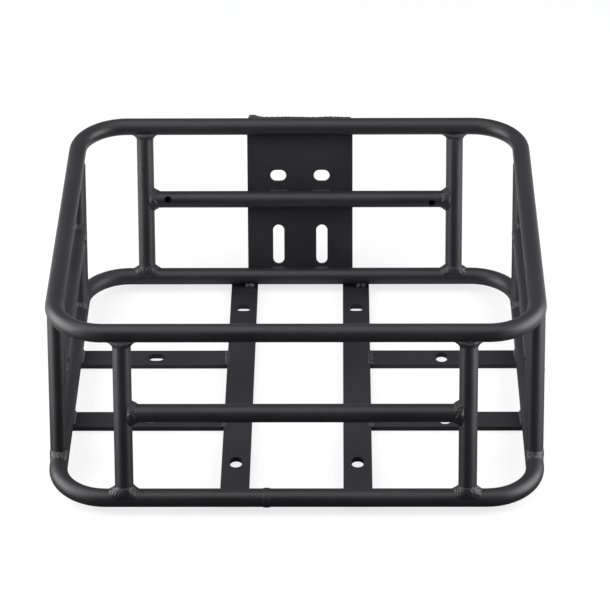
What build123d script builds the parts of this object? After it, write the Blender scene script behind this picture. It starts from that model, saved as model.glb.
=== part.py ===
"""Handlebar basket: a welded frame of round tube with a slotted mounting plate and a flat-bar floor.

Millimetres. +X is the rider's left-to-right width, +Y points back to the bicycle, +Z is up. The floor
is level and the walls lean back with the head tube, so the top rim stands further back than the
bottom rim. The origin is under the middle of the overall box, at the underside of the floor straps.
"""

from build123d import *

import os
from math import cos, radians, sin, sqrt

# Tube and bar stock
tube_diameter = 12.7
tube_wall = 1.5
strap_width = 20.0
strap_thickness = 4.0
cross_strap_width = 18.0

# Rims, measured between tube axes
rim_width = 330.0
rim_depth = 276.0
rim_bend_radius = 35.0

# Walls, measured along their own slope from the bottom rim's axis
wall_lean = 20.0
wall_height = 116.0
mid_rail_height = 60.0
end_post_offset = 117.0
side_post_offset = 93.5
vent_hole_diameter = 5.0
vent_hole_from_post = 17.0
vent_hole_tilt = 31.0

# Mounting plate on the back wall
plate_width = 80.0
plate_thickness = 3.0
plate_corner_radius = 2.0
plate_drop = 1.8
plate_clearance = 0.4
slot_width = 8.5
plate_slot_spacing = 33.0
upper_slot_length = 12.0
upper_slot_height = 77.0
lower_slot_length = 30.5
lower_slot_height = 23.5

# Floor
strap_spacing = 85.0
strap_end_inset = 4.0
cross_strap_spacing = 77.0
cross_strap_end_inset = 2.0
strap_edge_radius = 0.4
strap_slot_length = 12.0
front_slot_inset = 48.5
back_slot_inset = 34.0
side_slot_offset = 105.0

# Weld beads, and how deep a tube's end is notched to fit the tube that it meets
notch_depth = 0.6
fillet_leg = 3.2
side_smear = 0.9
weld_toe = 1.5
seam_bead_width = 5.0
seam_bead_height = 0.5
seam_offset = -20.0
seam_notch_depth = 1.2
seam_notch_width = 7.0
plate_bead_bite = 0.6
rail_stitch_length = 14.5
rim_stitch_length = 10.5
stitch_radius = 1.8
stitch_gap = 1.25
tack_length = 7.0
tack_radius = 2.4
tack_gap = 0.8
tack_height = 0.8
tack_offset = 4.0
butt_bead_radius = 1.6
butt_bead_sink = 0.6
bead_overlap = 0.3

tube_radius = tube_diameter / 2
bore_radius = tube_radius - tube_wall
# tubes are cut nearly square: their ends stop this far from the other tube's axis, notched to fit it
end_cut = tube_radius - notch_depth
up = Vector(0, sin(radians(wall_lean)), cos(radians(wall_lean)))
out = Vector(0, cos(radians(wall_lean)), -sin(radians(wall_lean)))

# The plate's top back edge reaches furthest back, and the bottom rim furthest forward
plate_top = wall_height + tube_radius - plate_drop
plate_back_reach = plate_top * up.Y + (tube_radius + plate_thickness) * out.Y
bottom_rim_y = (tube_radius - plate_back_reach) / 2
bottom_rim_z = strap_thickness + tube_radius
bottom_centre = Vector(0, bottom_rim_y, bottom_rim_z)
top_centre = bottom_centre + up * wall_height

side_x = rim_width / 2
end_y = rim_depth / 2
strap_top = strap_thickness
strap_x = strap_spacing / 2

# The plate reaches past the bottom rim's axis until its front edge is just above the straps' tops
plate_foot = (tube_radius * (1 - sin(radians(wall_lean))) - plate_clearance) / cos(radians(wall_lean))
# The bead along the plate's top edge lies in the groove beside the top rim and bites into it
plate_bead_from_axis = sqrt((tube_radius - bead_overlap) ** 2 + (tube_radius - plate_drop) ** 2)
plate_bead_radius = plate_bead_from_axis - tube_radius + plate_bead_bite
# A stitch or tack lies in the corner beside a tube, its centre a small gap off the tube's surface
stitch_height = sqrt((tube_radius + stitch_gap) ** 2 - (tube_radius - bead_overlap) ** 2)
tack_from_axis = sqrt((tube_radius + tack_gap) ** 2 - (tube_radius - tack_height) ** 2)

os.makedirs("parts", exist_ok=True)


def save(piece, name):
    piece.part.label = name
    export_step(piece.part, f"parts/{name}.step")
    return piece


def tube_end(start, end):
    """The plane across a tube at its start, facing along it."""
    return Plane(origin=start, z_dir=(end - start).normalized())


def cut_ends(start, end):
    """The two ends of a tube that runs between the axes of two others."""
    along = (end - start).normalized()
    return start + along * end_cut, end - along * end_cut


def solid_bar(start, end):
    """The full round bar that fills a straight tube, used to fit its neighbours to it."""
    first, last = cut_ends(start, end)
    with BuildPart() as bar:
        with BuildSketch(tube_end(first, last)):
            Circle(tube_radius)
        extrude(amount=(last - first).length)
    return bar.part


def straight_tube(start, end, notched_for, vents=()):
    """A hollow tube, its ends notched for the solids it meets, drilled at each (point, direction)."""
    first, last = cut_ends(start, end)
    with BuildPart() as tube:
        with BuildSketch(tube_end(first, last)):
            Circle(tube_radius)
            Circle(bore_radius, mode=Mode.SUBTRACT)
        extrude(amount=(last - first).length)
        for solid in notched_for:
            add(solid, mode=Mode.SUBTRACT)
        for point, direction in vents:
            with BuildSketch(Plane(origin=point, z_dir=direction)):
                Circle(vent_hole_diameter / 2)
            extrude(amount=tube_diameter, mode=Mode.SUBTRACT)
    return tube


def rim_path(centre):
    """The rim's axis, a rounded rectangle that starts in the middle of the front."""
    with BuildLine(Plane(origin=centre)) as path:
        FilletPolyline(
            (-side_x, -end_y), (side_x, -end_y), (side_x, end_y), (-side_x, end_y),
            radius=rim_bend_radius, close=True,
        )
    return path.wire()


def bent_rim(centre, hollow):
    """One rim: round section carried along the rim's axis, solid or as a tube."""
    path = rim_path(centre)
    with BuildPart() as rim:
        with BuildSketch(Plane(origin=path @ 0, z_dir=path % 0)):
            Circle(tube_radius)
            if hollow:
                Circle(bore_radius, mode=Mode.SUBTRACT)
        sweep(path=path)
    return rim


def bead(start, end, radius, neighbours):
    """A run of weld from start to end: a round bead less the pieces that it joins."""
    with BuildPart() as run:
        with BuildSketch(tube_end(start, end)):
            Circle(radius)
        extrude(amount=(end - start).length)
        for solid in neighbours:
            add(solid, mode=Mode.SUBTRACT)
    return run.part


def saddle_weld(base, direction, other_axis, neighbours):
    """The weld round a tube that leaves another tube's axis at base.

    It is a cone, long along the other tube and narrow across it, less the two tubes: a fillet where
    the tubes make a corner, which closes the gap beside the cut end and thins to a smear there.
    """
    across = direction.cross(other_axis).normalized()
    seat = Plane(origin=base, x_dir=across.cross(direction), z_dir=direction)
    rise = tube_radius + fillet_leg
    with BuildPart() as weld:
        with BuildSketch(seat.offset(weld_toe)):
            Ellipse(tube_radius + rise - weld_toe, tube_radius + side_smear)
        with BuildSketch(seat.offset(rise + bead_overlap)):
            Circle(tube_radius - bead_overlap)
        loft()
        for solid in neighbours:
            add(solid, mode=Mode.SUBTRACT)
    return weld.part


def group(pieces):
    """Several separate solids kept as one node."""
    with BuildPart() as together:
        for piece in pieces:
            add(piece)
    return together


# Rims
top_rim = save(bent_rim(top_centre, hollow=True), "top_rim")
top_solid = bent_rim(top_centre, hollow=False).part
bottom_solid = bent_rim(bottom_centre, hollow=False).part

# The bottom rim's seam is sunk underneath, as a shallow round notch across the tube
seam_point = bottom_centre + Vector(seam_offset, -end_y, 0)
notch_radius = (seam_notch_width**2 / 4 + seam_notch_depth**2) / (2 * seam_notch_depth)
notch_centre = seam_point - Vector(0, 0, tube_radius - seam_notch_depth + notch_radius)
with BuildPart() as notch_cutter:
    with BuildSketch(Plane(origin=notch_centre, z_dir=(0, 1, 0))):
        Circle(notch_radius)
    extrude(amount=tube_diameter, both=True)
with BuildPart() as bottom_rim:
    add(bent_rim(bottom_centre, hollow=True).part)
    add(notch_cutter.part, mode=Mode.SUBTRACT)
save(bottom_rim, "bottom_rim")

rim_solids = [top_solid, bottom_solid]

# Walls: each has two posts between the rims and a mid rail between the posts. A wall is described by
# the feet of its posts on the bottom rim's axis, the rims' direction there, and its inward side.
x_axis, y_axis = Vector(1, 0, 0), Vector(0, 1, 0)
walls = {
    "front": (
        {"left": Vector(-end_post_offset, -end_y, 0), "right": Vector(end_post_offset, -end_y, 0)},
        x_axis,
        y_axis,
    ),
    "back": (
        {"left": Vector(-end_post_offset, end_y, 0), "right": Vector(end_post_offset, end_y, 0)},
        x_axis,
        -y_axis,
    ),
    "left": (
        {"front": Vector(-side_x, -side_post_offset, 0), "back": Vector(-side_x, side_post_offset, 0)},
        y_axis,
        x_axis,
    ),
    "right": (
        {"front": Vector(side_x, -side_post_offset, 0), "back": Vector(side_x, side_post_offset, 0)},
        y_axis,
        -x_axis,
    ),
}

mid_rail_solids = {}
for wall, (feet, along, inward) in walls.items():
    post_solids, welds = [], []
    for place, foot in feet.items():
        foot = bottom_centre + foot
        head = foot + up * wall_height
        save(straight_tube(foot, head, rim_solids), f"{wall}_wall_{place}_post")
        post_solid = solid_bar(foot, head)
        post_solids.append(post_solid)
        welds.append(saddle_weld(foot, up, along, [bottom_solid, post_solid]))
        welds.append(saddle_weld(head, -up, along, [top_solid, post_solid]))

    start, end = (bottom_centre + foot + up * mid_rail_height for foot in feet.values())
    vent_start, vent_end = start + along * vent_hole_from_post, end - along * vent_hole_from_post
    # the back rail's left hole is turned upwards
    turned_up = inward * cos(radians(vent_hole_tilt)) + Vector(0, 0, sin(radians(vent_hole_tilt)))
    vents = [(vent_start, turned_up if wall == "back" else inward), (vent_end, inward)]
    save(straight_tube(start, end, post_solids, vents), f"{wall}_wall_mid_rail")
    rail_solid = solid_bar(start, end)
    mid_rail_solids[wall] = rail_solid
    welds.append(saddle_weld(start, along, up, [post_solids[0], rail_solid]))
    welds.append(saddle_weld(end, -along, up, [post_solids[1], rail_solid]))
    save(group(welds), f"{wall}_wall_welds")

# Mounting plate, from just under the crown of the top rim to just below the bottom rim's axis
back_foot = bottom_centre + Vector(0, end_y, 0)
plate_face = Plane(origin=back_foot + out * tube_radius, x_dir=x_axis, z_dir=out)
# in this plane's sketches +Y points down the slope
plate_height = plate_top + plate_foot
with BuildPart() as mounting_plate:
    with BuildSketch(plate_face):
        with Locations((0, plate_foot - plate_height / 2)):
            RectangleRounded(plate_width, plate_height, plate_corner_radius)
        with Locations((0, -upper_slot_height)):
            with GridLocations(plate_slot_spacing, 0, 2, 1):
                SlotOverall(upper_slot_length, slot_width, mode=Mode.SUBTRACT)
        with Locations((0, -lower_slot_height)):
            with GridLocations(plate_slot_spacing, 0, 2, 1):
                SlotOverall(lower_slot_length, slot_width, rotation=90, mode=Mode.SUBTRACT)
    extrude(amount=plate_thickness)
save(mounting_plate, "mounting_plate")

# Plate welds: a bead along the top edge, two stitches on the mid rail and two on the bottom rim
plate_joint = back_foot + out * (tube_radius - bead_overlap)
bead_half = x_axis * (plate_width / 2 - plate_corner_radius)
bead_at = plate_joint + up * plate_top
plate_welds = [
    bead(bead_at - bead_half, bead_at + bead_half, plate_bead_radius, [top_solid, mounting_plate.part])
]
stitched_tubes = (
    (mid_rail_height, mid_rail_solids["back"], rail_stitch_length),
    (0, bottom_solid, rim_stitch_length),
)
for height, tube, length in stitched_tubes:
    half = x_axis * (length / 2)
    for side in (-1, 1):
        middle = plate_joint + up * (height + stitch_height) + x_axis * (side * plate_slot_spacing / 2)
        neighbours = [tube, mounting_plate.part]
        plate_welds.append(bead(middle - half, middle + half, stitch_radius, neighbours))
save(group(plate_welds), "plate_welds")

# Floor straps, under both rims' ends, with a slot along the strap in front and across it behind
strap_front = bottom_rim_y - end_y + strap_end_inset
strap_back = bottom_rim_y + end_y + strap_end_inset
strap_length = strap_back - strap_front
front_slot_y = bottom_rim_y - end_y + front_slot_inset
back_slot_y = bottom_rim_y + end_y - back_slot_inset


def floor_bar(centre_x, centre_y, size_x, size_y, slots):
    """A flat bar that lies on the ground, with slots at each (x, y, turn)."""
    with BuildPart() as bar:
        with BuildSketch(Plane.XY):
            with Locations((centre_x, centre_y)):
                Rectangle(size_x, size_y)
            for x, y, turn in slots:
                with Locations((x, y)):
                    SlotOverall(strap_slot_length, slot_width, rotation=turn, mode=Mode.SUBTRACT)
        extrude(amount=strap_thickness)
        long_axis = Axis.Y if size_y > size_x else Axis.X
        corners = bar.edges().filter_by(long_axis).group_by(SortBy.LENGTH)[-1]
        fillet(corners, strap_edge_radius)
    return bar


strap_middle_y = (strap_front + strap_back) / 2
floor_straps = {}
for side, name in ((-1, "left"), (1, "right")):
    x = side * strap_x
    strap_slots = [(x, front_slot_y, 90), (x, back_slot_y, 0)]
    strap = floor_bar(x, strap_middle_y, strap_width, strap_length, strap_slots)
    floor_straps[name] = save(strap, f"{name}_floor_strap").part

# Cross straps, from a long strap's outer edge to under the side of the rim. Slots run across the
# basket on the left and along it on the right.
cross_inner = strap_x + strap_width / 2
cross_outer = side_x - cross_strap_end_inset
cross_length = cross_outer - cross_inner
cross_straps = {}
for side, side_name, turn in ((-1, "left", 0), (1, "right", 90)):
    for end, end_name in ((-1, "front"), (1, "back")):
        x = side * (cross_inner + cross_outer) / 2
        y = bottom_rim_y + end * cross_strap_spacing / 2
        slots = [(side * side_slot_offset, y, turn)]
        bar = floor_bar(x, y, cross_length, cross_strap_width, slots)
        cross_straps[side_name, end_name] = save(bar, f"{side_name}_{end_name}_cross_strap").part

# Welds of the floor straps, one tack inside the rim at each end
strap_welds = []
for side, name in ((-1, "left"), (1, "right")):
    for end in (-1, 1):
        middle = Vector(
            side * strap_x + tack_offset,
            bottom_rim_y + end * (end_y - tack_from_axis),
            strap_top + tack_height,
        )
        half = x_axis * (tack_length / 2)
        neighbours = [bottom_solid, floor_straps[name]]
        strap_welds.append(bead(middle - half, middle + half, tack_radius, neighbours))
save(group(strap_welds), "floor_strap_welds")

# Welds of the cross straps: a flat bead along the butt joint with the long strap, and a fillet
# against the side of the rim
cross_welds = []
half = y_axis * (cross_strap_width / 2)
for (side_name, end_name), cross_strap in cross_straps.items():
    side = -1 if side_name == "left" else 1
    y = cross_strap.center(CenterOf.BOUNDING_BOX).Y
    butt = Vector(side * cross_inner, y, strap_top - butt_bead_sink)
    straps = [cross_strap, floor_straps[side_name]]
    cross_welds.append(bead(butt - half, butt + half, butt_bead_radius, straps))
    seat = Vector(side * (side_x - tack_from_axis), y, strap_top + tack_height)
    cross_welds.append(bead(seat - half, seat + half, tack_radius, [cross_strap, bottom_solid]))
save(group(cross_welds), "cross_strap_welds")

# The bottom rim's seam weld: a low ring round the tube, open over the notch
seam_axis = Axis(seam_point, x_axis)
with BuildPart() as seam_weld:
    with BuildSketch(Plane(origin=seam_point, x_dir=x_axis, z_dir=-y_axis)):
        with Locations((0, tube_radius)):
            Ellipse(seam_bead_width / 2, seam_bead_height)
    revolve(axis=seam_axis)
    add(bottom_solid, mode=Mode.SUBTRACT)
    add(notch_cutter.part, mode=Mode.SUBTRACT)
save(seam_weld, "bottom_rim_seam_weld")
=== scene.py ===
"""Handlebar basket in satin black powder coat: welded round-tube frame, slotted plate, flat-bar floor.

The tubes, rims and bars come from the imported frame. This script adds the weld beads, eases the
plate's cut edges, gives everything its finish, and sets up the studio.
Metres throughout; +Y points back to the bicycle and +Z is up.
"""

import bmesh
import bpy
import numpy as np
from mathutils import Matrix, Vector


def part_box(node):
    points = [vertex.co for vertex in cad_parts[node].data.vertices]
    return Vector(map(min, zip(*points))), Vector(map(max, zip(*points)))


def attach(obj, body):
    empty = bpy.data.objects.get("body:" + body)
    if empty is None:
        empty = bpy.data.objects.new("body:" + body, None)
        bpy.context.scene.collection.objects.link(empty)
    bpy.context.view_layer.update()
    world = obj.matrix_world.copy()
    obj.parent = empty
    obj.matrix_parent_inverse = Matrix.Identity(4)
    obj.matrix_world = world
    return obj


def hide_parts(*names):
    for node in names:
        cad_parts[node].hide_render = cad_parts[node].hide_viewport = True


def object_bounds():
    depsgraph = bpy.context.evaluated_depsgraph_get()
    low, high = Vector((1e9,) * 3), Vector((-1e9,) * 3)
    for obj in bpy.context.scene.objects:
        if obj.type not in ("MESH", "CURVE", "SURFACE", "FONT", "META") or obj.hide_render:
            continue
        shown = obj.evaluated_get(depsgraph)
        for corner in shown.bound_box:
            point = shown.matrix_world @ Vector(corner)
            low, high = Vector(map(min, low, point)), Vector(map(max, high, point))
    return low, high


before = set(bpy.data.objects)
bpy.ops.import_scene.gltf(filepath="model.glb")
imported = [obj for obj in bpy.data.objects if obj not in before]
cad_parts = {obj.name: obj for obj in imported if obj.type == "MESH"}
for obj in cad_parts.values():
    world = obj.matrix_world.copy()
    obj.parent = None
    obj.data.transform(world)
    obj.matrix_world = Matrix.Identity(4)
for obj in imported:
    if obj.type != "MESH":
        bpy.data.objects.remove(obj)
cad_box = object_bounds()

MM = 0.001


# ---------------------------------------------------------------- places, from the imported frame

def corners(name):
    """Lowest and highest corner of a node, as arrays."""
    low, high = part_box(name)
    return np.array(low), np.array(high)


def middle(name):
    """The middle of a node's box."""
    low, high = corners(name)
    return (low + high) / 2


def unit(vector):
    """The same direction with length one, for one vector or a row of them."""
    vector = np.asarray(vector, float)
    return vector / np.linalg.norm(vector, axis=-1, keepdims=True)


X_AXIS, Y_AXIS, Z_AXIS = np.eye(3)
post_low, post_high = corners("front_wall_left_post")
TUBE_RADIUS = (post_high[0] - post_low[0]) / 2
BOTTOM_LOW, BOTTOM_HIGH = corners("bottom_rim")
BOTTOM_CENTRE = (BOTTOM_LOW + BOTTOM_HIGH) / 2
HALF_WIDTH = (BOTTOM_HIGH[0] - BOTTOM_LOW[0]) / 2 - TUBE_RADIUS
HALF_DEPTH = (BOTTOM_HIGH[1] - BOTTOM_LOW[1]) / 2 - TUBE_RADIUS
# up along the leaning walls, from rim to rim, and straight out of the back wall
WALL = middle("top_rim") - BOTTOM_CENTRE
WALL_HEIGHT = np.linalg.norm(WALL)
UP = WALL / WALL_HEIGHT
OUT = np.cross(UP, X_AXIS)
OUT *= np.sign(OUT[1])
STRAP_TOP = corners("left_floor_strap")[1][2]


# ---------------------------------------------------------------- meshes

def weld_mesh(name, shells):
    """One mesh of several closed shells of weld.

    Each shell is a grid of points, rows by columns by xyz, with a crown value per point for the finish
    to read. Columns always wrap round. Rows wrap round too, unless the shell has two end poles.
    """
    points, faces, crowns, start = [], [], [], 0
    for grid, crown, poles in shells:
        rows, columns = grid.shape[:2]
        index = start + np.arange(rows * columns).reshape(rows, columns)
        following = np.roll(index, -1, axis=1)
        last = rows if poles is None else rows - 1
        below = np.roll(index, -1, axis=0)[:last]
        below_next = np.roll(following, -1, axis=0)[:last]
        quads = np.stack([index[:last], following[:last], below_next, below], axis=-1).reshape(-1, 4)
        faces.extend(quads.tolist())
        points.append(grid.reshape(-1, 3))
        crowns.append(crown.reshape(-1))
        start += rows * columns
        if poles is not None:
            points.append(np.array(poles))
            # the poles take a crown of nought, so the weld finish darkens the beads' ends with painted
            # shade
            crowns.append(np.zeros(2))
            # a fan of triangles closes each end
            ends = ((following[0], index[0], start), (index[-1], following[-1], start + 1))
            for one, other, pole in ends:
                fan = np.stack([one, other, np.full(columns, pole)], axis=-1)
                faces.extend(fan.tolist())
            start += 2
    mesh = bpy.data.meshes.new(name)
    mesh.from_pydata(np.concatenate(points).tolist(), [], faces)
    mesh.shade_smooth()
    attribute = mesh.attributes.new("crown", "FLOAT", "POINT")
    attribute.data.foreach_set("value", np.concatenate(crowns).astype(np.float32))
    return mesh


def facing_out(grid):
    """The grid, with its columns turned round if its wrapped surface encloses a negative volume."""
    next_row, next_column = np.roll(grid, -1, axis=0), np.roll(grid, -1, axis=1)
    volume = np.sum(np.cross(next_column - grid, next_row - grid) * (grid - grid.mean((0, 1))))
    return grid if volume > 0 else grid[:, ::-1]


def piece(name, mesh, material, *nodes):
    """A mesh as a piece of the basket that stands for the given CAD nodes."""
    thing = bpy.data.objects.new(name, mesh)
    bpy.context.scene.collection.objects.link(thing)
    mesh.materials.clear()
    mesh.materials.append(material)
    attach(thing, "root")
    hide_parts(*nodes)
    return thing


# ---------------------------------------------------------------- weld shapes

# what all welds share: ripples from dabs of filler, a slow wobble, and spatter over the face, whose
# waves slant by up to so many radians from toe to toe
RIPPLE_PITCH = 1.9 * MM
RIPPLE_HEIGHT = 0.16 * MM
RIPPLE_POWER = 0.7
WOBBLE_WAVES = 9
SPATTER_WAVES = 12
SPATTER_SLANT = 18
FEWEST_SPATTER = 9
MOST_SPATTER = 25

# The welds round the tubes' ends. Legs are how far a corner reaches up the branch and along the main
# tube. At the sides, reach is how far from the main tube's axis the toe on the branch lies, wrap is how
# many degrees round the main tube the other toe lies, and rise is how far the crown stands out.
# Hollow is how deep the corners are scooped, and lumps is how uneven the whole weld is.
FOOT = {
    "legs": (2.8 * MM, 4.2 * MM), "reach": 8.4 * MM, "wrap": 92, "rise": 0.8 * MM,
    "hollow": 0.35, "lumps": 0.32,
}
HEAD = {
    "legs": (3.3 * MM, 3.6 * MM), "reach": 9.4 * MM, "wrap": 44, "rise": 1.3 * MM,
    "hollow": 0.7, "lumps": 0.20,
}
RAIL = {
    "legs": (4.2 * MM, 2.8 * MM), "reach": 8.6 * MM, "wrap": 66, "rise": 1.2 * MM,
    "hollow": 0.45, "lumps": 0.30,
}
SADDLE_COLUMNS = 176
SADDLE_ROWS = 15
# the toes lie just under the tubes' skins, and the shell's back about a tube wall's thickness deeper
TOE_SINK = 0.12 * MM
ROOT_SINK = 1.6 * MM
# how quickly the line turns from corner to side, and how blunt it is at the branch's lowest points
CORNER_POWER = 0.8
LEG_TURN = 0.35
TIP_SOFTNESS = 0.16
# how much the two legs wobble in any joint, how much more with the lumps, and how far, in radians,
# the wrap goes along with the leg on the main tube
BRANCH_WOBBLE = 0.10
MAIN_WOBBLE = 0.12
LUMPY_WOBBLE = 0.3
WRAP_WOBBLE = 0.4
# ripples bow by up to a quarter of this many pitches, and all relief fades to nothing at the toes
CRESCENT = 2.2
EDGE_POWER = 0.6
# the share of the ripples' height that an even weld has, and the heights that come with the lumps
SMOOTH_RIPPLE = 0.45
SLOW_HEIGHT = 0.35 * MM
LUMP_HEIGHT = 1.5 * MM
SPATTER_HEIGHT = 0.5 * MM
# the one lump's spread, in radians round the line and as a share of the way from toe to toe
LUMP_ANGLE = 0.28
LUMP_SPREAD = 0.25
# how far spatter goes above and below its height, and the share of that left at the sides
SPATTER_CONTRAST = 3.5
SIDE_SPATTER = 0.3
# the crown value that the finish reads, low where painted shade darkens creases and toes and high
# where the coat pales: what an even weld stays near, a rough weld's middle, what spatter and
# ripples add to that, and the lumps from which a weld counts as rough
NEUTRAL = 0.4
CROWN_MIDDLE = 0.45
CROWN_BY_SPATTER = 1.3
CROWN_BY_RIPPLE = 0.25
FULL_CONTRAST_LUMPS = 0.3


def wander(rng, angle):
    """A smooth closed wobble between about -1 and 1: sines of one to nine waves, smaller as they crowd."""
    orders = np.arange(1, WOBBLE_WAVES + 1)
    phases = rng.uniform(0, 2 * np.pi, WOBBLE_WAVES)
    weights = 1 / np.sqrt(orders)
    return np.sin(np.multiply.outer(angle, orders) + phases) @ weights / np.sqrt(WOBBLE_WAVES)


def spatter(rng, angle, t):
    """Small uneven lumps over a weld's face: the mean of twelve sine waves at slants of their own.

    The waves are about 1.6 to 5 mm long.
    """
    orders = rng.integers(FEWEST_SPATTER, MOST_SPATTER + 1, SPATTER_WAVES)
    slants = rng.uniform(-SPATTER_SLANT, SPATTER_SLANT, SPATTER_WAVES)
    phases = rng.uniform(0, 2 * np.pi, SPATTER_WAVES)
    waves = np.sin(angle[:, None, None] * orders + t[..., None] * slants + phases)
    return waves.mean(axis=-1)


def saddle_weld(base, branch, main, seed, joint):
    """The weld round a square-cut branch tube that butts against a main tube of the same diameter.

    Round the branch by angle a, corners are where |cos a| is one and sides where it is nought. One toe
    runs round the branch, its distance from the main tube's axis blending from corner to side. The
    other runs over the main tube's unrolled surface, out by its leg in the corners and round by the
    wrap at the sides. A parabola joins the toes: hollow in the corners, and raised at the sides to
    cover the cut end. Ripples follow the line, and a slow wobble, spatter and one lump break up the
    evenness.
    """
    rng = np.random.default_rng(seed)
    lumps = joint["lumps"]
    side = np.cross(branch, main)
    angle = np.linspace(0, 2 * np.pi, SADDLE_COLUMNS, endpoint=False)
    across, sideways = np.cos(angle), np.sin(angle)
    corner = np.abs(across) ** CORNER_POWER
    height = TUBE_RADIUS * np.sqrt(across**2 + TIP_SOFTNESS**2)
    radial = np.outer(across, main) + np.outer(sideways, side)
    root = base + TUBE_RADIUS * radial + np.outer(height, branch)

    branch_leg, main_leg = joint["legs"]
    branch_leg = branch_leg * (1 + (BRANCH_WOBBLE + LUMPY_WOBBLE * lumps) * wander(rng, angle))
    main_leg = main_leg * (1 + (MAIN_WOBBLE + LUMPY_WOBBLE * lumps) * wander(rng, angle))
    toe_height = joint["reach"] + (TUBE_RADIUS + branch_leg - joint["reach"]) * corner
    toe_height = toe_height + (branch_leg - joint["legs"][0]) * (1 - corner)
    branch_toe = base + (TUBE_RADIUS - TOE_SINK) * radial + np.outer(toe_height, branch)
    # the main tube's surface, unrolled: along its axis, and round it from the branch's side
    along = TUBE_RADIUS * across + main_leg * np.tanh(across / LEG_TURN)
    wrap_wobble = WRAP_WOBBLE * (main_leg / joint["legs"][1] - 1)
    turn = (np.radians(joint["wrap"]) + wrap_wobble) * sideways
    skin = TUBE_RADIUS - TOE_SINK
    main_toe = (
        base + np.outer(along, main)
        + np.outer(skin * np.sin(turn), side) + np.outer(skin * np.cos(turn), branch)
    )
    pull = (branch_toe + main_toe) / 2
    pull = pull + (root - pull) * (joint["hollow"] * corner)[:, None]
    pull = pull + radial * (2 * joint["rise"] * (1 - corner))[:, None]
    t = np.linspace(0, 1, SADDLE_ROWS)[None, :, None]
    face = (
        (1 - t) ** 2 * branch_toe[:, None] + 2 * t * (1 - t) * pull[:, None]
        + t**2 * main_toe[:, None]
    )
    slope_round = np.roll(face, -1, axis=0) - np.roll(face, 1, axis=0)
    slope_over = np.gradient(face, axis=1)
    lift = unit(np.cross(slope_round, slope_over))
    lift *= np.sign(np.sum(lift * (face - base), axis=-1, keepdims=True))

    # ripples a pitch apart along the line, bent into crescents, and one lump where the welder dwelt
    t = t[..., 0]
    line = np.cumsum(np.linalg.norm(root - np.roll(root, 1, axis=0), axis=1))
    pitch = line[-1] / np.round(line[-1] / RIPPLE_PITCH)
    phase = line[:, None] / pitch + CRESCENT * t * (1 - t)
    window = np.sin(np.pi * t) ** EDGE_POWER
    ripple = np.abs(np.sin(np.pi * phase)) ** RIPPLE_POWER
    lump_angle, lump_t = rng.uniform(0, 2 * np.pi), rng.uniform(0.35, 0.65)
    gap = np.angle(np.exp(1j * (angle - lump_angle)))[:, None]
    lump = np.exp(-((gap / LUMP_ANGLE) ** 2) - ((t - lump_t) / LUMP_SPREAD) ** 2)
    slow = wander(rng, angle)[:, None]
    rough = spatter(rng, angle, t) * (SIDE_SPATTER + (1 - SIDE_SPATTER) * corner[:, None])
    rise = RIPPLE_HEIGHT * (SMOOTH_RIPPLE + lumps) * ripple
    rise = rise + lumps * (SLOW_HEIGHT * slow + LUMP_HEIGHT * lump)
    rise = rise + lumps * SPATTER_HEIGHT * (1 + SPATTER_CONTRAST * rough)
    face = face + lift * (rise * window)[..., None]
    # a rough joint's finish runs from painted shade in its creases and at its toes to paler, thinner coat
    # on its crowns, and a smooth joint's stays between
    by_ripple = CROWN_BY_RIPPLE * (ripple - 0.5) * corner[:, None]
    # times the window, so the crown falls to nought at the toes, where painted shade darkens them
    crease_shade_and_thin_coat = np.clip(CROWN_MIDDLE + CROWN_BY_SPATTER * rough + by_ripple, 0, 1) * window
    crown = NEUTRAL + (crease_shade_and_thin_coat - NEUTRAL) * min(1, lumps / FULL_CONTRAST_LUMPS)

    back_branch = branch_toe - radial * ROOT_SINK
    back_root = base + (TUBE_RADIUS - ROOT_SINK) * radial + np.outer(height - ROOT_SINK, branch)
    grid = np.concatenate([face, back_root[:, None], back_branch[:, None]], axis=1)
    crown = np.concatenate([crown, np.zeros((len(angle), 2))], axis=1)
    return facing_out(grid), crown, None


# The straight runs: half their width, their height as a share of it, and how uneven they are
PLATE_TOP_BEAD = {"radius": 1.9 * MM, "flatness": 0.9, "lumps": 0.35}
PLATE_STITCH = {"radius": 1.9 * MM, "flatness": 0.85, "lumps": 0.25}
STRAP_TACK = {"radius": 2.6 * MM, "flatness": 0.95, "lumps": 0.5}
CROSS_BUTT = {"radius": 1.9 * MM, "flatness": 0.8, "lumps": 0.35}
CROSS_FILLET = {"radius": 2.5 * MM, "flatness": 0.95, "lumps": 0.45}
BEAD_COLUMNS = 28
# a ring of points for every step along a run, whose rounded ends don't quite close before their poles
BEAD_STEP = 0.22 * MM
FEWEST_STEPS = 24
SMALLEST_TAPER = 0.02
# the wobble's share, how far in pitches the ripples bow, and how they swell about their mean
BEAD_WOBBLE = 0.5
BEAD_CRESCENT = 0.45
BEAD_RIPPLE = 1.4
BEAD_RIPPLE_MEAN = 0.6
# spatter waves count round a whole tube, so a straight run has as many in twice this length
BEAD_SPATTER_SPAN = 20 * MM
# where a first lump peaks, and how far it spreads
HUMP_FROM_START = 3.5 * MM
HUMP_HALF = 5.0 * MM
# the crown value on a run: a little everywhere, more on the ripples and along the top, where the coat
# pales; along the underside, against the tube, it falls to nought and painted shade darkens it
BEAD_CROWN = 0.2
BEAD_CROWN_BY_RIPPLE = 0.3
BEAD_CROWN_BY_HEIGHT = 0.4


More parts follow.
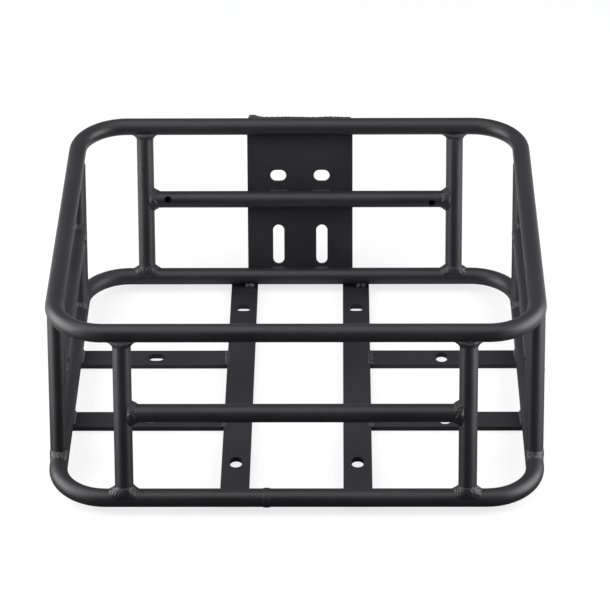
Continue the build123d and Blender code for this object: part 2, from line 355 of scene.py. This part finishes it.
def bead(start, end, crown_side, seed, radius, flatness, lumps, first_lump=0.0):
    """A straight run of weld: an ellipse carried from start to end, with rounded ends.

    The ellipse is widest across the joint. Crescent ripples follow the run, a slow wobble changes its
    size, and first_lump, in metres, raises a hump near its start, where the welder dwelt.
    """
    rng = np.random.default_rng(seed)
    length = np.linalg.norm(end - start)
    forward = (end - start) / length
    crown_side = unit(crown_side - forward * (crown_side @ forward))
    across = np.cross(forward, crown_side)
    steps = max(FEWEST_STEPS, int(length / BEAD_STEP))
    s = np.linspace(0, 1, steps + 2)[1:-1]
    from_end = np.minimum(np.minimum(s, 1 - s) * length / radius, 1)
    taper = np.sqrt(np.clip(1 - (1 - from_end) ** 2, SMALLEST_TAPER, 1))
    size = radius * taper * (1 + lumps * BEAD_WOBBLE * wander(rng, s * np.pi))
    hump = first_lump * np.exp(-(((s * length - HUMP_FROM_START) / HUMP_HALF) ** 2)) * taper
    turn = np.linspace(0, 2 * np.pi, BEAD_COLUMNS, endpoint=False)
    up_part = np.cos(turn)
    phase = s[:, None] * length / RIPPLE_PITCH - BEAD_CRESCENT * up_part
    ripple = np.abs(np.sin(np.pi * phase)) ** RIPPLE_POWER
    swell = 1 + RIPPLE_HEIGHT / radius * BEAD_RIPPLE * (ripple - BEAD_RIPPLE_MEAN)
    rough = spatter(rng, np.pi * s * length / BEAD_SPATTER_SPAN, turn[None, :] / (2 * np.pi))
    swell = swell + lumps * rough
    grid = (
        start + (s * length)[:, None, None] * forward
        + (size[:, None] * swell)[..., None]
        * (up_part[:, None] * flatness * crown_side + np.sin(turn)[:, None] * across)
        + (hump[:, None] * np.clip(up_part, 0, 1))[..., None] * crown_side
    )
    # low along the underside, where painted shade darkens the bead against the tube; high along the top,
    # where the coat pales
    crown = BEAD_CROWN + BEAD_CROWN_BY_RIPPLE * ripple + BEAD_CROWN_BY_HEIGHT * up_part + rough
    return grid, np.clip(crown, 0, 1), (start, end)


# ---------------------------------------------------------------- finishes

COAT_DEEP = "#161518"
COAT_LIGHT = "#1e1d21"
COAT_THIN = "#27272a"
# painted shade: the near black that darkens weld creases and toes, where shade falls
PAINTED_CREASE_SHADE = "#0a0a0c"
GRAIN_DARK = "#b9b9ba"
GRAIN_LIGHT = "#ffffff"
COAT_ROUGHNESS = 0.46
ROUGHNESS_SPREAD = 0.05
# the width of one pass of the gun, and the orange peel's pitch and its depth in the bump
PASS_WIDTH = 60 * MM
PEEL_PITCH = 2.5 * MM
PEEL_DEPTH = 0.6 * MM
# fused powder grains are about 0.2 mm, and are drawn at 0.7 mm so that they show
GRAIN_PITCH = 0.7 * MM
GRAIN_DEPTH = 0.2 * MM
# a Mix node keeps its colour sockets at these places among its sockets of other kinds
MIX_A, MIX_B, MIX_RESULT = 6, 7, 2


def linear(code):
    """An sRGB hex colour as linear red, green, blue and one."""
    parts = np.array([int(code[i : i + 2], 16) for i in (1, 3, 5)]) / 255
    values = np.where(parts <= 0.04045, parts / 12.92, ((parts + 0.055) / 1.055) ** 2.4)
    return (*values.tolist(), 1.0)


def add(tree, kind, links=None, **settings):
    """Adds a node; settings fill its properties or its sockets, links joins outputs to its sockets."""
    node = tree.nodes.new(kind)
    for key, value in settings.items():
        if hasattr(node, key):
            setattr(node, key, value)
        else:
            node.inputs[key.replace("_", " ")].default_value = value
    for key, socket in (links or {}).items():
        tree.links.new(socket, node.inputs[key])
    return node


def new_tree(name):
    """An empty material and its node tree."""
    material = bpy.data.materials.new(name)
    material.use_nodes = True
    material.node_tree.nodes.clear()
    return material, material.node_tree


def ramp(tree, source, stops):
    """A colour ramp over source, with (position, colour code) stops."""
    node = add(tree, "ShaderNodeValToRGB", {"Fac": source})
    for element, (position, code) in zip(node.color_ramp.elements, stops):
        element.position = position
        element.color = linear(code)
    return node.outputs["Color"]


def powder_coat(name, crowned):
    """Satin black powder coat, sprayed and baked on welded aluminium.

    It gives the eye a deep neutral grey-black with a broad soft sheen, a faint orange peel with a
    grain of fused powder on it, slightly uneven depth from one pass of the gun to the next, and on
    weld beads a thinner, greyer coat along the crowns, with painted shade darkening the creases and
    toes.
    """
    material, tree = new_tree(name)
    place = add(tree, "ShaderNodeTexCoord").outputs["Object"]
    passes = add(tree, "ShaderNodeTexNoise", {"Vector": place}, Scale=1 / PASS_WIDTH, Detail=3.0)
    colour = ramp(tree, passes.outputs["Fac"], ((0.3, COAT_DEEP), (0.7, COAT_LIGHT)))
    grain = add(tree, "ShaderNodeTexNoise", {"Vector": place}, Scale=1 / GRAIN_PITCH, Detail=2.0)
    tint = ramp(tree, grain.outputs["Fac"], ((0.35, GRAIN_DARK), (0.65, GRAIN_LIGHT)))
    colour = add(
        tree, "ShaderNodeMix", {MIX_A: colour, MIX_B: tint},
        data_type="RGBA", blend_type="MULTIPLY", Factor=0.5,
    ).outputs[MIX_RESULT]
    peel = add(tree, "ShaderNodeTexNoise", {"Vector": place}, Scale=1 / PEEL_PITCH, Detail=1.0)
    bump = add(
        tree, "ShaderNodeBump", {"Height": peel.outputs["Fac"]}, Strength=0.10, Distance=PEEL_DEPTH
    )
    bump = add(
        tree, "ShaderNodeBump", {"Height": grain.outputs["Fac"], "Normal": bump.outputs["Normal"]},
        Strength=0.12, Distance=GRAIN_DEPTH,
    )
    rough = add(
        tree, "ShaderNodeMapRange", {"Value": passes.outputs["Fac"]}, From_Min=0.3, From_Max=0.7,
        To_Min=COAT_ROUGHNESS - ROUGHNESS_SPREAD, To_Max=COAT_ROUGHNESS + ROUGHNESS_SPREAD,
    )
    if crowned:
        crown = add(tree, "ShaderNodeAttribute", attribute_name="crown").outputs["Fac"]
        # painted shade darkens the creases from a crown of 0.4 down, and the coat thins and pales from 0.5
        # up
        for low, high, code in ((0.4, 0.0, PAINTED_CREASE_SHADE), (0.5, 1.0, COAT_THIN)):
            reach = add(tree, "ShaderNodeMapRange", {"Value": crown}, From_Min=low, From_Max=high)
            layer = add(
                tree, "ShaderNodeMix", {"Factor": reach.outputs["Result"], MIX_A: colour},
                data_type="RGBA",
            )
            layer.inputs[MIX_B].default_value = linear(code)
            colour = layer.outputs[MIX_RESULT]
    shader = add(
        tree, "ShaderNodeBsdfPrincipled",
        {"Base Color": colour, "Roughness": rough.outputs["Result"], "Normal": bump.outputs["Normal"]},
        IOR=1.5, Metallic=0.0,
    )
    add(tree, "ShaderNodeOutputMaterial", {"Surface": shader.outputs["BSDF"]})
    return material


tube_coat = powder_coat("satin_black_powder_coat_on_tube", crowned=False)
# the weld's coat carries painted shade in its creases and at its toes
weld_coat = powder_coat("satin_black_powder_coat_on_weld_with_painted_crease_shade", crowned=True)

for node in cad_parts.values():
    for index in range(len(node.data.materials)):
        node.data.materials[index] = tube_coat


# ---------------------------------------------------------------- wall welds

# each wall's two posts, and the direction from the first to the second
walls = {
    "front": ("left", "right", X_AXIS),
    "back": ("left", "right", X_AXIS),
    "left": ("front", "back", Y_AXIS),
    "right": ("front", "back", Y_AXIS),
}
# each weld counts the seed on, so that no two are alike
seed = 11
for wall, (first, second, along) in walls.items():
    posts = [middle(f"{wall}_wall_{which}_post") for which in (first, second)]
    rail = middle(f"{wall}_wall_mid_rail") - (posts[0] + posts[1]) / 2
    shells = []
    for post, sign in zip(posts, (1, -1)):
        joints = (
            (post - UP * WALL_HEIGHT / 2, UP, along, FOOT),
            (post + UP * WALL_HEIGHT / 2, -UP, along, HEAD),
            (post + rail, sign * along, UP, RAIL),
        )
        for base, branch, main, joint in joints:
            seed += 1
            shells.append(saddle_weld(base, branch, main, seed, joint))
    mesh = weld_mesh(f"{wall}_wall_weld_beads", shells)
    piece(f"{wall}_wall_weld_beads", mesh, weld_coat, f"{wall}_wall_welds")


# ---------------------------------------------------------------- plate and strap welds

# the plate's top bead stops short of its corners, and starts with a hump
BEAD_SINK = 0.3 * MM
TOP_BEAD_SHORT = 0.8 * MM
TOP_BEAD_HUMP = 1.7 * MM
TOP_BEAD_SEED = 71
plate_high = corners("mounting_plate")[1]
back_foot = BOTTOM_CENTRE + Y_AXIS * HALF_DEPTH
joint_face = back_foot + OUT * (TUBE_RADIUS - BEAD_SINK)
plate_top = (plate_high[2] - (back_foot + OUT * TUBE_RADIUS)[2]) / UP[2]
top_edge = joint_face + UP * plate_top
reach = X_AXIS * (plate_high[0] - TOP_BEAD_SHORT)
shells = [
    bead(
        top_edge - reach, top_edge + reach, UP, TOP_BEAD_SEED,
        first_lump=TOP_BEAD_HUMP, **PLATE_TOP_BEAD,
    )
]
# stitches: two on the mid rail, two shorter ones on the bottom rim, in line with the slots
STITCH_SPACING = 33 * MM
RAIL_STITCH = 14.5 * MM
RIM_STITCH = 10.5 * MM
# how far above a tube's axis, in its radii, the corner between it and the plate is filled
CORNER_UP = 0.725
rail_up = (middle("back_wall_mid_rail") - back_foot) @ UP
for height, length in ((rail_up, RAIL_STITCH), (0.0, RIM_STITCH)):
    for sign in (-1, 1):
        seed += 1
        centre = joint_face + UP * (height + TUBE_RADIUS * CORNER_UP)
        centre = centre + X_AXIS * sign * STITCH_SPACING / 2
        half = X_AXIS * length / 2
        shells.append(bead(centre - half, centre + half, unit(UP - OUT), seed, **PLATE_STITCH))
piece("plate_weld_beads", weld_mesh("plate_weld_beads", shells), weld_coat, "plate_welds")

# a tack inside the rim at each end of each long strap, to the right of the strap's middle
TACK_HALF = X_AXIS * 4.0 * MM
TACK_ASIDE = 4.0 * MM
TACK_IN = 4.5 * MM
TACK_RISE = 0.8 * MM
shells = []
for name in ("left_floor_strap", "right_floor_strap"):
    x = middle(name)[0] + TACK_ASIDE
    for end in (-1, 1):
        seed += 1
        y = BOTTOM_CENTRE[1] + end * (HALF_DEPTH - TACK_IN)
        centre = np.array([x, y, STRAP_TOP + TACK_RISE])
        lean = unit(Z_AXIS - end * Y_AXIS)
        shells.append(bead(centre - TACK_HALF, centre + TACK_HALF, lean, seed, **STRAP_TACK))
mesh = weld_mesh("floor_strap_weld_beads", shells)
piece("floor_strap_weld_beads", mesh, weld_coat, "floor_strap_welds")

# cross straps: a flat bead over the butt joint, and a fillet against the side of the rim
CROSS_BEAD_SHORT = 0.3 * MM
BUTT_SINK = 0.7 * MM
shells = []
for side_name, sign in (("left", -1), ("right", 1)):
    for end_name in ("front", "back"):
        low, high = corners(f"{side_name}_{end_name}_cross_strap")
        y = (low[1] + high[1]) / 2
        half = Y_AXIS * ((high[1] - low[1]) / 2 - CROSS_BEAD_SHORT)
        inner = low[0] if sign > 0 else high[0]
        seed += 2
        butt = np.array([inner, y, STRAP_TOP - BUTT_SINK])
        shells.append(bead(butt - half, butt + half, Z_AXIS, seed, **CROSS_BUTT))
        seat = np.array([sign * (HALF_WIDTH - TACK_IN), y, STRAP_TOP + TACK_RISE])
        lean = unit(Z_AXIS - sign * X_AXIS)
        shells.append(bead(seat - half, seat + half, lean, seed + 1, **CROSS_FILLET))
mesh = weld_mesh("cross_strap_weld_beads", shells)
piece("cross_strap_weld_beads", mesh, weld_coat, "cross_strap_welds")


# ---------------------------------------------------------------- plate with eased edges

EASED_RADIUS = 0.25 * MM
MERGE_DISTANCE = 0.002 * MM
FLAT_ANGLE = np.radians(0.5)
SHARP_ANGLE = np.radians(40)


def eased_plate(name):
    """A copy of a cut plate with its sharp cut edges rounded, as the coat leaves them."""
    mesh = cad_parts[name].data.copy()
    mesh.name = f"{name}_eased"
    work = bmesh.new()
    work.from_mesh(mesh)
    bmesh.ops.remove_doubles(work, verts=work.verts, dist=MERGE_DISTANCE)
    bmesh.ops.dissolve_limit(work, angle_limit=FLAT_ANGLE, verts=work.verts, edges=work.edges)
    work.to_mesh(mesh)
    work.free()
    thing = piece(f"{name}_eased", mesh, tube_coat, name)
    bevel = thing.modifiers.new("eased_edges", "BEVEL")
    bevel.width = EASED_RADIUS
    bevel.segments = 3
    bevel.limit_method = "ANGLE"
    bevel.angle_limit = SHARP_ANGLE
    bevel.harden_normals = True


eased_plate("mounting_plate")


# ---------------------------------------------------------------- studio

basket_middle = Vector(((cad_box[0] + cad_box[1]) / 2))


def soft_box(name, place, target, size, power, spread):
    """An oblong area light at place, turned to target, both measured from the basket's middle.

    Sizes are in metres, power in watts and spread in degrees.
    """
    light = bpy.data.lights.new(name, "AREA")
    light.shape = "RECTANGLE"
    light.size, light.size_y = size
    light.energy = power
    light.spread = np.radians(spread)
    holder = bpy.data.objects.new(name, light)
    bpy.context.scene.collection.objects.link(holder)
    holder.location = basket_middle + Vector(place)
    facing = Vector(target) - Vector(place)
    holder.rotation_euler = facing.to_track_quat("-Z", "Y").to_euler()


soft_box("left_softbox", (-0.78, -0.1, 0.3), (0, 0, 0.05), (0.9, 0.7), 9.5, 160)
soft_box("right_softbox", (0.78, -0.1, 0.3), (0, 0, 0.05), (0.9, 0.7), 9.5, 160)
soft_box("overhead_softbox", (-0.25, -0.2, 1.25), (0, 0, 0), (1.8, 1.4), 9.5, 150)

# a pale wall behind and beside the table, and a dark room in front of it
WALL_GREY = "#f4f5f7"
world = bpy.data.worlds.new("studio_room")
bpy.context.scene.world = world
world.use_nodes = True
room = world.node_tree
towards = add(room, "ShaderNodeTexCoord").outputs["Generated"]
backward = add(room, "ShaderNodeSeparateXYZ", {"Vector": towards}).outputs["Y"]
wall_light = add(
    room, "ShaderNodeMapRange", {"Value": backward}, interpolation_type="SMOOTHSTEP",
    From_Min=-0.75, From_Max=0.45, To_Min=0.0, To_Max=0.4,
)
background = room.nodes["Background"]
background.inputs["Color"].default_value = linear(WALL_GREY)
room.links.new(wall_light.outputs["Result"], background.inputs["Strength"])

# Matt white paper, pressed from bleached pulp: flat and even, with a faint cloud of fibre. It is lit
# from beneath as well, so it looks white and its shadows stay faint. Other rays than the camera's meet
# a greyer floor, as round a small table in a dark studio, paler behind and beside the basket.
PAPER_DARK = "#808080"
PAPER_LIGHT = "#868686"
PAPER_GLOW = 0.73
# clouds of fibre are drawn at 4 mm so that they show
FIBRE_PITCH = 4 * MM
TABLE_GREY = "#4a4a4a"
SURROUND_GREY = "#e0e0e0"
# from where to where the table gives way to its paler surround, in metres: to either side, and behind
BESIDE = (0.18, 0.5)
BEHIND = (-0.22, 0.3)
floor_coat, tree = new_tree("matt_white_paper_sweep")
place = add(tree, "ShaderNodeTexCoord").outputs["Object"]
fibre = add(tree, "ShaderNodeTexNoise", {"Vector": place}, Scale=1 / FIBRE_PITCH, Detail=2.0)
white = ramp(tree, fibre.outputs["Fac"], ((0.3, PAPER_DARK), (0.7, PAPER_LIGHT)))
seen = add(tree, "ShaderNodeLightPath").outputs["Is Camera Ray"]
glow = add(tree, "ShaderNodeMath", {0: seen}, operation="MULTIPLY")
glow.inputs[1].default_value = PAPER_GLOW
shader = add(
    tree, "ShaderNodeBsdfPrincipled", {"Base Color": white, "Emission Strength": glow.outputs[0]},
    IOR=1.45, Roughness=0.9, Emission_Color=linear("#ffffff"),
)
spot = add(tree, "ShaderNodeSeparateXYZ", {"Vector": place})
aside = add(tree, "ShaderNodeMath", {0: spot.outputs["X"]}, operation="ABSOLUTE").outputs[0]
beside, behind = (
    add(
        tree, "ShaderNodeMapRange", {"Value": distance}, interpolation_type="SMOOTHSTEP",
        From_Min=low, From_Max=high,
    ).outputs["Result"]
    for distance, (low, high) in ((aside, BESIDE), (spot.outputs["Y"], BEHIND))
)
paper = add(tree, "ShaderNodeMath", {0: beside, 1: behind}, operation="MAXIMUM").outputs[0]
bounce_grey = ramp(tree, paper, ((0.0, TABLE_GREY), (1.0, SURROUND_GREY)))
bounce = add(tree, "ShaderNodeBsdfDiffuse", {"Color": bounce_grey})
choice = add(tree, "ShaderNodeMixShader", {0: seen, 1: bounce.outputs[0], 2: shader.outputs["BSDF"]})
add(tree, "ShaderNodeOutputMaterial", {"Surface": choice.outputs["Shader"]})

# the paper lies just under the basket, so that their faces don't meet
FLOOR_HALF = 4.0
FLOOR_GAP = 0.2 * MM
floor_z = cad_box[0][2] - FLOOR_GAP
ways = ((-1, -1), (1, -1), (1, 1), (-1, 1))
floor_corners = [(x * FLOOR_HALF, y * FLOOR_HALF, floor_z) for x, y in ways]
floor_mesh = bpy.data.meshes.new("floor")
floor_mesh.from_pydata(floor_corners, [], [(0, 1, 2, 3)])
floor_mesh.materials.append(floor_coat)
floor = bpy.data.objects.new("floor", floor_mesh)
bpy.context.scene.collection.objects.link(floor)

# the camera stands a little right of the middle, well back, and looks down at the front
VIEW_TURN = np.radians(-0.858)
VIEW_DOWN = np.radians(33.824)
VIEW_ROLL = np.radians(0.5514)
CAMERA_PLACE = Vector((29.89, -1655.2, 1170.65)) * MM
# both in millimetres, as a camera states them
SENSOR_WIDTH = 36
LENS = 163.348
look = np.array([
    np.sin(VIEW_TURN) * np.cos(VIEW_DOWN), np.cos(VIEW_TURN) * np.cos(VIEW_DOWN), -np.sin(VIEW_DOWN)
])
right = unit(np.cross(look, Z_AXIS))
down = np.cross(look, right)
turned_right = np.cos(VIEW_ROLL) * right + np.sin(VIEW_ROLL) * down
turned_down = -np.sin(VIEW_ROLL) * right + np.cos(VIEW_ROLL) * down
camera_data = bpy.data.cameras.new("camera")
camera_data.sensor_width = SENSOR_WIDTH
camera_data.lens = LENS
camera_data.clip_end = 20
camera = bpy.data.objects.new("camera", camera_data)
bpy.context.scene.collection.objects.link(camera)
pose = Matrix(np.stack([turned_right, -turned_down, -look], axis=1).tolist()).to_4x4()
pose.translation = CAMERA_PLACE
camera.matrix_world = pose
bpy.context.scene.camera = camera
bpy.context.scene.view_settings.view_transform = "Standard"
